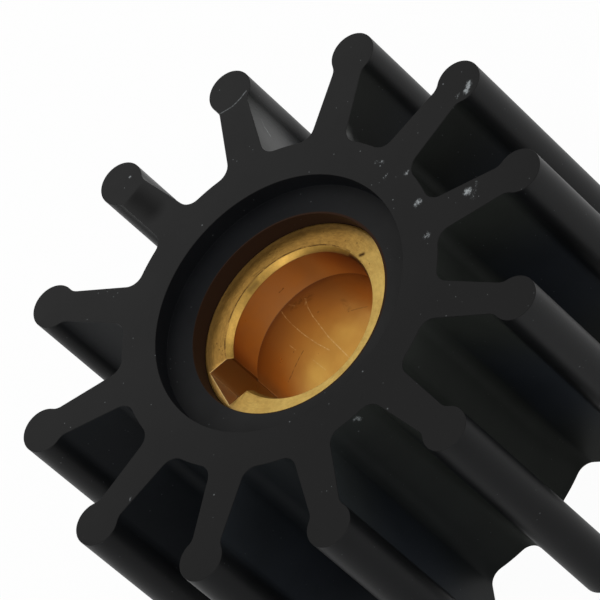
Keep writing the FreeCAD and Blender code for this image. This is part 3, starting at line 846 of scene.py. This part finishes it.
    # Painted shade darkens the bore beside the keyway, but not the keyway itself
    keyway_painted_shade = add(MATH, MULTIPLY, {0: stroke_mask(tree, unrolled, *KEYWAY_SHADE), 1: is_wall})
    keyway_painted_shade = add(MAP_RANGE, None, {"Value": is_keyway, "To Min": keyway_painted_shade, "To Max": 0.0})
    base = add(MIX, RGBA, {"Factor": keyway_painted_shade, 6: base, 7: settings.keyway_shade_colour}).outputs[2]
    # Painted highlights: two lobes of light deep in the relief
    painted_lobes = add(MATH, MULTIPLY, {0: spots_mask(tree, unrolled, BORE_LOBES), 1: is_wall})
    base = add(MIX, RGBA, {"Factor": painted_lobes, 6: base, 7: settings.lobe_highlight_colour}).outputs[2]
    scratches = add(MATH, MULTIPLY, {0: strokes_mask(tree, unrolled, BORE_SCRATCHES), 1: is_wall})
    scratches = add(MATH, MULTIPLY, {0: scratches, 1: patchy})
    # Painted highlights on the broken edges round the keyway, with the scratches
    bright = strongest(tree, [scratches, strokes_mask(tree, place, FACE_EDGE_HIGHLIGHTS)])
    base = add(MIX, RGBA, {"Factor": bright, 6: base, 7: settings.bare_and_highlight_colour}).outputs[2]

    duller = add(MATH, MULTIPLY_ADD, {0: unrubbed, 1: UNRUBBED_DULLNESS, 2: patina})
    roughness = add(MAP_RANGE, None, {
        "Value": duller, "From Min": 0.3, "From Max": 0.7, "To Min": 0.26, "To Max": 0.42})
    # Brown oxide round the outer shoulder and on the lead-in
    lead_in = add(MATH, MAXIMUM, {0: is_flat, 1: is_wall})
    lead_in = add(MAP_RANGE, None, {"Value": lead_in, "To Min": 0.75, "To Max": 1.0})
    metal = add(MAP_RANGE, SMOOTH, {
        "Value": radius, "From Min": 10.0, "From Max": 11.0, "To Min": lead_in, "To Max": 0.5})
    lines = add(MIX, None, {"Factor": is_wall, "A": rings, "B": feed})
    bump = add("ShaderNodeBump", None, {"Height": lines, "Strength": 0.3, "Distance": 0.006 * MM})
    shader = add("ShaderNodeBsdfPrincipled", None, {
        "Base Color": base, "Metallic": metal, "Roughness": roughness, "Normal": bump})
    add("ShaderNodeOutputMaterial", None, {"Surface": shader})
    return material


class MESH_OT_impeller_rubber(bpy.types.Operator):
    """Build the one-piece rubber moulding with its beaded vanes"""
    bl_idname = "mesh.impeller_rubber_add"
    bl_label = "Add Rubber Moulding"

    def execute(self, context):
        settings = context.scene.impeller_rubber
        piece = build_rubber(settings, moulded_rubber(settings))
        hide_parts("rubber_impeller")
        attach(piece, "root")
        return {"FINISHED"}


class MESH_OT_impeller_bush(bpy.types.Operator):
    """Build the turned brass bush with its broached keyway"""
    bl_idname = "mesh.impeller_bush_add"
    bl_label = "Add Brass Bush"

    def execute(self, context):
        settings = context.scene.impeller_bush
        piece = build_bush(settings, turned_brass(settings))
        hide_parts("brass_bush")
        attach(piece, "root")
        return {"FINISHED"}


AIM = Vector((-2.18, -1.47, 30.5)) * MM
CAMERA_REACH = 10.0
FLOOR_SIZE = 4.0
FLOOR_GAP = 0.02 * MM
# How white the floor shows to the camera, and in metal, shine or glass
FLOOR_SEEN, FLOOR_MIRRORED = 0.97, 0.8
# Direction of each lamp, its size in metres and its power in watts
LAMPS = {
    "overhead_softbox": ((0.25, 0.0, 1.0), 1.2, 3.1),
    "key_softbox": ((-0.55, 0.66, 0.56), 0.6, 1.3),
    "fill_softbox": ((-0.5, -0.73, 0.45), 0.8, 1.2),
}
LAMP_DISTANCE = 1.0


def backdrop_share(tree):
    """Share of the floor that shows as plain white to each kind of ray."""
    path = add_node(tree, "ShaderNodeLightPath")
    seen = add_node(tree, MATH, MULTIPLY, {0: path.outputs["Is Camera Ray"], 1: FLOOR_SEEN})
    mirror = add_node(tree, MATH, MAXIMUM, {
        0: path.outputs["Is Glossy Ray"], 1: path.outputs["Is Transmission Ray"]})
    mirror = add_node(tree, MATH, MULTIPLY, {0: mirror, 1: FLOOR_MIRRORED})
    return add_node(tree, MATH, MAXIMUM, {0: seen, 1: mirror})


def pale_floor(settings):
    # Matt pale card that keeps the object's shadow and clears to white where it is looked at
    material, tree = new_material("matt_white_card")
    matt = add_node(tree, "ShaderNodeBsdfDiffuse", None, {"Color": settings.floor_colour})
    white = add_node(tree, "ShaderNodeEmission", None, {"Color": WHITE, "Strength": 1.0})
    mixed = add_node(tree, "ShaderNodeMixShader", None, {
        0: backdrop_share(tree), 1: matt, 2: white})
    # Clear from below, so that the rear end can be looked at
    side = add_node(tree, "ShaderNodeNewGeometry")
    clear = add_node(tree, "ShaderNodeBsdfTransparent")
    shown = add_node(tree, "ShaderNodeMixShader", None, {
        0: side.outputs["Backfacing"], 1: mixed, 2: clear})
    add_node(tree, "ShaderNodeOutputMaterial", None, {"Surface": shown})
    return material


def studio_light(settings):
    world = bpy.data.worlds.new("studio")
    bpy.context.scene.world = world
    world.use_nodes = True
    tree = world.node_tree
    tree.nodes.clear()
    path = add_node(tree, "ShaderNodeLightPath")
    strength = add_node(tree, MAP_RANGE, None, {
        "Value": path.outputs["Is Camera Ray"], "To Min": settings.sky_strength, "To Max": 1.0})
    sky = add_node(tree, "ShaderNodeBackground", None, {"Color": WHITE, "Strength": strength})
    add_node(tree, "ShaderNodeOutputWorld", None, {"Surface": sky})


def softbox(name, direction, size, power):
    light = bpy.data.lights.new(name, "AREA")
    light.shape = "DISK"
    light.size = size
    light.energy = power
    lamp = bpy.data.objects.new(name, light)
    bpy.context.scene.collection.objects.link(lamp)
    lamp.location = Vector(direction).normalized() * LAMP_DISTANCE
    lamp.rotation_euler = Vector(direction).to_track_quat("Z", "Y").to_euler()


class SCENE_OT_impeller_stage(bpy.types.Operator):
    """Set the floor, the lamps and the camera"""
    bl_idname = "scene.impeller_stage_set"
    bl_label = "Set Stage"

    def execute(self, context):
        settings = context.scene.impeller_stage
        bm = bmesh.new()
        bmesh.ops.create_grid(bm, x_segments=1, y_segments=1, size=FLOOR_SIZE / 2)
        mesh = bpy.data.meshes.new("floor")
        bm.to_mesh(mesh)
        bm.free()
        mesh.materials.append(pale_floor(settings))
        floor = bpy.data.objects.new("floor", mesh)
        floor.location.z = -FLOOR_GAP
        context.scene.collection.objects.link(floor)
        studio_light(settings)
        for name, lamp in LAMPS.items():
            softbox(name, *lamp)

        camera = bpy.data.objects.new("camera", bpy.data.cameras.new("camera"))
        context.scene.collection.objects.link(camera)
        context.scene.camera = camera
        camera.data.lens = settings.lens
        camera.data.clip_end = CAMERA_REACH
        level = math.cos(settings.elevation)
        back = Vector((math.sin(settings.azimuth) * level, -math.cos(settings.azimuth) * level,
                       math.sin(settings.elevation)))
        facing = back.to_track_quat("Z", "Y").to_matrix().to_4x4()
        place = Matrix.Translation(AIM + back * settings.distance)
        camera.matrix_world = place @ facing @ Matrix.Rotation(settings.roll, 4, "Z")

        context.scene.view_settings.view_transform = "Standard"
        return {"FINISHED"}


class VIEW3D_PT_impeller(bpy.types.Panel):
    """Sizes, colours and steps of the impeller"""
    bl_label = "Impeller"
    bl_space_type = "VIEW_3D"
    bl_region_type = "UI"
    bl_category = "Impeller"

    def draw(self, context):
        layout = self.layout
        for group in GROUPS:
            settings = getattr(context.scene, group)
            box = layout.box()
            for name in settings.__annotations__:
                box.prop(settings, name)
        for operator in OPERATORS:
            layout.operator(operator.bl_idname)


GROUPS = {
    "impeller_rubber": ImpellerRubberSettings,
    "impeller_bush": ImpellerBushSettings,
    "impeller_stage": ImpellerStageSettings,
}
OPERATORS = (MESH_OT_impeller_rubber, MESH_OT_impeller_bush, SCENE_OT_impeller_stage)


def register():
    for name, group in GROUPS.items():
        bpy.utils.register_class(group)
        setattr(bpy.types.Scene, name, bpy.props.PointerProperty(type=group))
    for operator in OPERATORS:
        bpy.utils.register_class(operator)
    bpy.utils.register_class(VIEW3D_PT_impeller)


def unregister():
    bpy.utils.unregister_class(VIEW3D_PT_impeller)
    for operator in reversed(OPERATORS):
        bpy.utils.unregister_class(operator)
    for name, group in GROUPS.items():
        delattr(bpy.types.Scene, name)
        bpy.utils.unregister_class(group)


def main():
    register()
    bpy.ops.mesh.impeller_rubber_add()
    bpy.ops.mesh.impeller_bush_add()
    bpy.ops.scene.impeller_stage_set()


if __name__ == "__main__":
    main()
